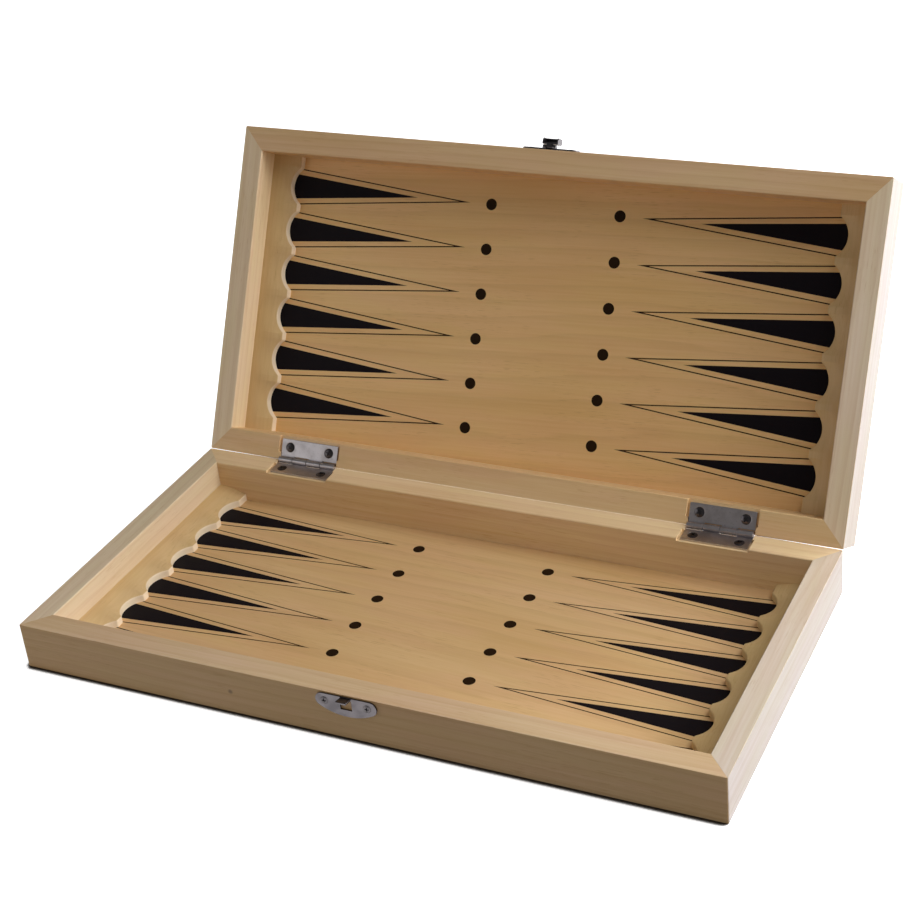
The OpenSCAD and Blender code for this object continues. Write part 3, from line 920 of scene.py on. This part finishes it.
knuckleRow = knuckleTree()


def hingeCentre(side):
    off = -rail["hingeOff"] if side == "left" else rail["hingeOff"]
    return Matrix.Translation(hingePlace + Vector((off * mm, 0, 0)))


def makeLeaf(side, body, first):
    # first: how many knuckles from the left this leaf's own ones start
    h = hinge
    outer, step = h["knuckleRound"], h["length"] / h["count"]
    # side view (y, z) of the sheet rolled round the pin, its leaf running off to -y
    section = [Vector((-h["sheetRun"], -outer))]
    section += rolledSheet(outer, h["bore"], -90, h["seamAngle"], h["seam"], 12, 12)
    section += [Vector((-h["sheetRun"], h["leafThick"] - outer))]
    mesh = bmesh.new()
    addPrism(mesh, section, -step / 2 + h["gap"], step / 2 - h["gap"], sideways)
    knuckle = meshObject("knuckle", mesh)
    ease(knuckle, h["knuckleEase"], 2, 50)
    knuckles = runTree(knuckleRow, "knuckles", [(0, 0, 0)], {
        "Knuckle": knuckle, "Start": (-h["length"] / 2 + (first + 0.5) * step) * mm, "Step": 2 * step * mm,
        "Count": h["count"] // 2, "Finish": materials["hinge"]})
    bpy.data.objects.remove(knuckle)

    half, far, near = h["length"] / 2, -h["leafWide"], -outer - h["clear"]
    low, high = -outer, -outer + h["leafThick"]
    plate = bmesh.new()
    addPrism(plate, roundedLoop([(-half, far, h["cornerRound"]), (half, far, h["cornerRound"]),
                                 (half, near, 0), (-half, near, 0)]), low, high, upright)
    leaf = meshObject("leaf", plate)
    wide, narrow, deep = h["screwSink"]
    places = [(end * screw["alongX"], -screw["fromPin"], high) for end in (-1, 1)]
    combine(leaf, sinkCutter(places, wide + h["sinkPlay"], narrow, deep, upright), "DIFFERENCE")
    ease(leaf, h["edgeEase"])
    joined = joinPieces([leaf, knuckles], side + body.capitalize() + "Leaf")
    finishPiece(joined, materials["hinge"], body, [f"{side}_hinge_{body}_leaf"],
                halves[body] @ hingeCentre(side))


def makePin(side):
    h = hinge
    ends = [(inset, h["pinRound"] * share) for inset, share in h["pinEnds"]]
    made = turnedPin(side + "HingePin", h["length"] / 2 + h["pinPast"], ends, h["pinSides"])
    finishPiece(made, materials["hinge"], "tray", [side + "_hinge_pin"], hingeCentre(side))


for side in ("left", "right"):
    makeLeaf(side, "tray", 1)
    makeLeaf(side, "lid", 0)
    makePin(side)
print("hinges made")


# catch


catch = {
    "top": 19.4, "thick": 0.7, "high": 8.6, "lobe": 3.0, "spread": 9.6, "edgeEase": 0.14,
    "screwSink": (1.6, 0.75, 0.85), "sinkPlay": 0.08,
    "tongueWide": 4.4, "tongueRoot": 0.35, "tongueLong": 4.3, "tongueTilt": 10, "tongueUnder": 18.2,
    "tongueEase": 0.16,
    "slotWide": 4.8, "slotHigh": 4.4, "slotBehind": 1, "slotBefore": 3, "notchPast": 1,
    "curlRound": 0.95, "curlWide": 1.4, "curlOff": 1.55, "curlTurn": 290, "curlSeam": 10, "curlPlay": 0.02,
    "curlEase": 0.08,
    "barrelWide": 2.8, "barrelSeam": 6, "barrelPlay": 0.05, "barrelFoot": 0.4, "footIn": 0.02,
    "pinRound": 0.4, "pinTip": 0.26, "pinTaper": 0.1, "pinSides": 20,
    "billWide": 7.0, "sheet": 0.55, "billNear": -0.25, "billFar": 4.5, "billTop": 1.25,
    "billTip": 3.9, "billRound": 1.1, "lip": 1.9, "cheekCorner": 0.9, "billEase": 0.2,
}


def plateOutline():
    c = catch
    up = c["high"] - c["lobe"]
    belly = (c["spread"] ** 2 + up ** 2 - c["lobe"] ** 2) / (2 * (up - c["lobe"]))
    lobeZ, bellyZ = c["top"] - c["lobe"], c["top"] - c["high"] + belly
    meet = math.degrees(math.atan2(lobeZ - bellyZ, c["spread"]))
    points = arc(c["spread"], lobeZ, c["lobe"], 90, meet, 10)
    points += arc(0, bellyZ, belly, meet, -180 - meet, 3)[1:-1]
    points += arc(-c["spread"], lobeZ, c["lobe"], -180 - meet, -270, 10)
    return points


def makePlate(name, slotLow, slotHigh):
    # a plate on the box's front, with its screw seats and a slot between two corners (x, z)
    c = catch
    face = rail["depth"] / 2
    mesh = bmesh.new()
    addPrism(mesh, plateOutline(), face, face + c["thick"], facing)
    made = meshObject(name, mesh)
    wide, narrow, deep = c["screwSink"]
    places = [(end * screw["plateSpread"], screw["plateHeight"], face + c["thick"]) for end in (-1, 1)]
    combine(made, sinkCutter(places, wide + c["sinkPlay"], narrow, deep, facing), "DIFFERENCE")
    (x0, z0), (x1, z1) = slotLow, slotHigh
    cutter = bmesh.new()
    addPrism(cutter, [(x0, z0), (x1, z0), (x1, z1), (x0, z1)], face - c["slotBehind"], face + c["slotBefore"],
             facing)
    combine(made, meshObject("slotCutter", cutter), "DIFFERENCE")
    ease(made, c["edgeEase"])
    return made


def makeKeeper():
    c = catch
    half, under = c["slotWide"] / 2, c["tongueUnder"]
    plate = makePlate("keeper", (-half, under - c["slotHigh"]), (half, under))
    # tongue bent out of the plate
    face = rail["depth"] / 2
    tilt = math.radians(c["tongueTilt"])
    root, tip = c["tongueRoot"], c["tongueLong"]
    profile = [Vector((-face - along * math.cos(tilt) + lift * math.sin(tilt),
                       under + along * math.sin(tilt) + lift * math.cos(tilt)))
               for along, lift in ((root, 0), (tip, 0), (tip, c["thick"]), (root, c["thick"]))]
    mesh = bmesh.new()
    addPrism(mesh, profile, -c["tongueWide"] / 2, c["tongueWide"] / 2, sideways)
    tongue = meshObject("tongue", mesh)
    ease(tongue, c["tongueEase"])
    joined = joinPieces([plate, tongue], "keeperPlate")
    finishPiece(joined, materials["catch"], "tray", ["keeper_plate"], catchShift)


def makeCatchPlate():
    c = catch
    closed = openLid.inverted() @ haspPlace       # the hasp's pivot in the closed box
    pivotY, pivotZ = closed.y / mm, closed.z / mm
    notch = pivotZ + c["curlRound"] + hinge["clear"]
    middle = 2 * hingePlace.z / mm
    # drawn as the keeper is, then turned over: the notch is mirrored to where the barrel turns
    plate = makePlate("catch", (-c["curlOff"], middle - notch), (c["curlOff"], c["top"] + c["notchPast"]))
    plate.data.transform(turnOver)
    plate.data.flip_normals()
    # side view of a curl, its neck running off to the box
    outer, inner = c["curlRound"], c["pinRound"] + c["curlPlay"]
    neck = -rail["depth"] / 2 - pivotY
    section = [Vector((neck, outer))] + rolledSheet(outer, inner, 90, 90 + c["curlTurn"], c["curlSeam"])
    section += [Vector((neck, inner))]
    parts = [plate]
    for sign in (-1, 1):
        middleX = sign * (c["curlOff"] + c["curlWide"] / 2)
        mesh = bmesh.new()
        addPrism(mesh, section, middleX - c["curlWide"] / 2, middleX + c["curlWide"] / 2, sideways)
        curl = meshObject("curl", mesh)
        ease(curl, c["curlEase"], 2, 50)
        curl.data.transform(Matrix.Translation((0, pivotY * mm, pivotZ * mm)))
        parts.append(curl)
    joined = joinPieces(parts, "catchPlate")
    finishPiece(joined, materials["catch"], "lid", ["catch_plate"], openLid @ catchShift)


def billProfile(inset):
    # side view of the bill's outer sheet, counted out and down from the pivot
    c = catch
    r = c["billRound"] - inset
    far, top, tip = c["billFar"] - inset, c["billTop"] + inset, c["billTip"] - inset
    return ([Vector((c["billNear"], top))] + arc(far - r, top + r, r, -90, 0, 15)
            + arc(far - r, tip - r, r, 0, 90, 15) + [Vector((c["billFar"] - c["lip"], tip))])


def hanging(out, down, x):
    return Vector((x, -out, -down))


def makeHasp():
    c = catch
    half, sheet, corner = c["billWide"] / 2, c["sheet"], c["cheekCorner"]
    band = bmesh.new()
    addPrism(band, billProfile(0) + list(reversed(billProfile(sheet))), -half, half, hanging)
    bill = meshObject("band", band)
    outline = billProfile(0) + [Vector((c["billNear"] + corner, c["billTip"])),
                                Vector((c["billNear"], c["billTip"] - corner))]
    for low, high in ((-half, sheet - half), (half - sheet, half)):
        cheek = bmesh.new()
        addPrism(cheek, outline, low, high, hanging)
        combine(bill, meshObject("cheek", cheek), "UNION")
    ease(bill, c["billEase"])
    # barrel rolled round the pin, its sheet running down into the bill's roof
    foot = c["billTop"] + c["barrelFoot"]
    section = [Vector((c["billNear"] + c["footIn"], foot))]
    section += rolledSheet(c["curlRound"], c["pinRound"] + c["barrelPlay"], 180, 180 - c["curlTurn"],
                           -c["barrelSeam"])
    section += [Vector((c["billNear"] + sheet, foot))]
    barrel = bmesh.new()
    addPrism(barrel, section, -c["barrelWide"] / 2, c["barrelWide"] / 2, hanging)
    joined = joinPieces([bill, meshObject("barrel", barrel)], "haspBill")
    place = Matrix.Translation(haspPlace) @ Matrix.Rotation(-lidOpen - haspOpen, 4, "X")
    finishPiece(joined, materials["catch"], "hasp", ["hasp"], place)


def makeHaspPin():
    c = catch
    ends = ((0, c["pinTip"]), (c["pinTaper"], c["pinRound"]))
    made = turnedPin("haspPin", c["curlOff"] + c["curlWide"], ends, c["pinSides"])
    finishPiece(made, materials["catch"], "lid", ["hasp_pin"], Matrix.Translation(haspPlace))


makeKeeper()
makeCatchPlate()
makeHasp()
makeHaspPin()
print("catch made")


# studio


studio = {
    "floorSize": 30.0, "floorDown": 0.05 * mm, "floorRough": 0.7, "floorGlow": 0.93, "sky": 0.128,
    "white": (0.9, 0.9, 0.9, 1), "shade": (0.03, 0.02, 0.012, 1),
    "contactReach": 3 * mm, "contactRange": (0.55, 0.85), "lampSide": (0.6, 0.6, 0.53),
    "aim": (0, 0.05, 0.05),
    # degrees round from +X and above the table, metres away, side in metres, watts
    "lamps": {
        "key": (8, 18, 1.1, 0.65, 8.8),
        "backKey": (50, 20, 1.1, 0.6, 8.8),
        "top": (5, 55, 1.1, 0.6, 4.0),
        "fill": (215, 15, 0.8, 0.5, 0.85),
    },
}


def addLamp(name, turn, above, away, size, watts):
    data = bpy.data.lights.new(name, "AREA")
    data.size = size
    data.energy = watts
    lamp = linkObject(name, data)
    turn, above = math.radians(turn), math.radians(above)
    out = Vector((math.cos(turn) * math.cos(above), math.sin(turn) * math.cos(above), math.sin(above)))
    aim = Matrix.Translation(Vector(studio["aim"]) + out * away)
    lamp.matrix_world = aim @ out.to_track_quat("Z", "Y").to_matrix().to_4x4()


def addStudio():
    mesh = bmesh.new()
    size = studio["floorSize"]
    mesh.faces.new([mesh.verts.new((x * size, y * size, 0)) for x, y in ((-1, -1), (1, -1), (1, 1), (-1, 1))])
    floor = meshObject("floor", mesh, 1)
    finish = Finish("whiteSweep")
    # the table is dark only close beside the box, on the sides that the lamps don't reach
    lampSide = finish.node("ShaderNodeCombineXYZ", None, dict(enumerate(studio["lampSide"])))
    openness = finish.node("ShaderNodeAmbientOcclusion", {"samples": 16},
                           {"Distance": studio["contactReach"], "Normal": lampSide}, out="AO")
    lit = finish.spread(openness, *studio["contactRange"])
    finish.feed(Base_Color=finish.mix(lit, studio["shade"], studio["white"]), Roughness=studio["floorRough"],
                Emission_Color=finish.mix(lit, (0, 0, 0, 1), (1, 1, 1, 1)),
                Emission_Strength=studio["floorGlow"])
    floor.data.materials.append(finish.material)
    floor.data.transform(Matrix.Translation((0, 0, -studio["floorDown"])))
    floor.visible_diffuse = False    # a cut-out white that throws no light back on the box

    world = bpy.data.worlds.new("sky")
    bpy.context.scene.world = world
    world.use_nodes = True
    back = world.node_tree.nodes["Background"]
    back.inputs["Color"].default_value = (1, 1, 1, 1)
    back.inputs["Strength"].default_value = studio["sky"]
    for name, values in studio["lamps"].items():
        addLamp(name, *values)
    bpy.context.scene.view_settings.view_transform = "Standard"


addStudio()
print("studio lit")
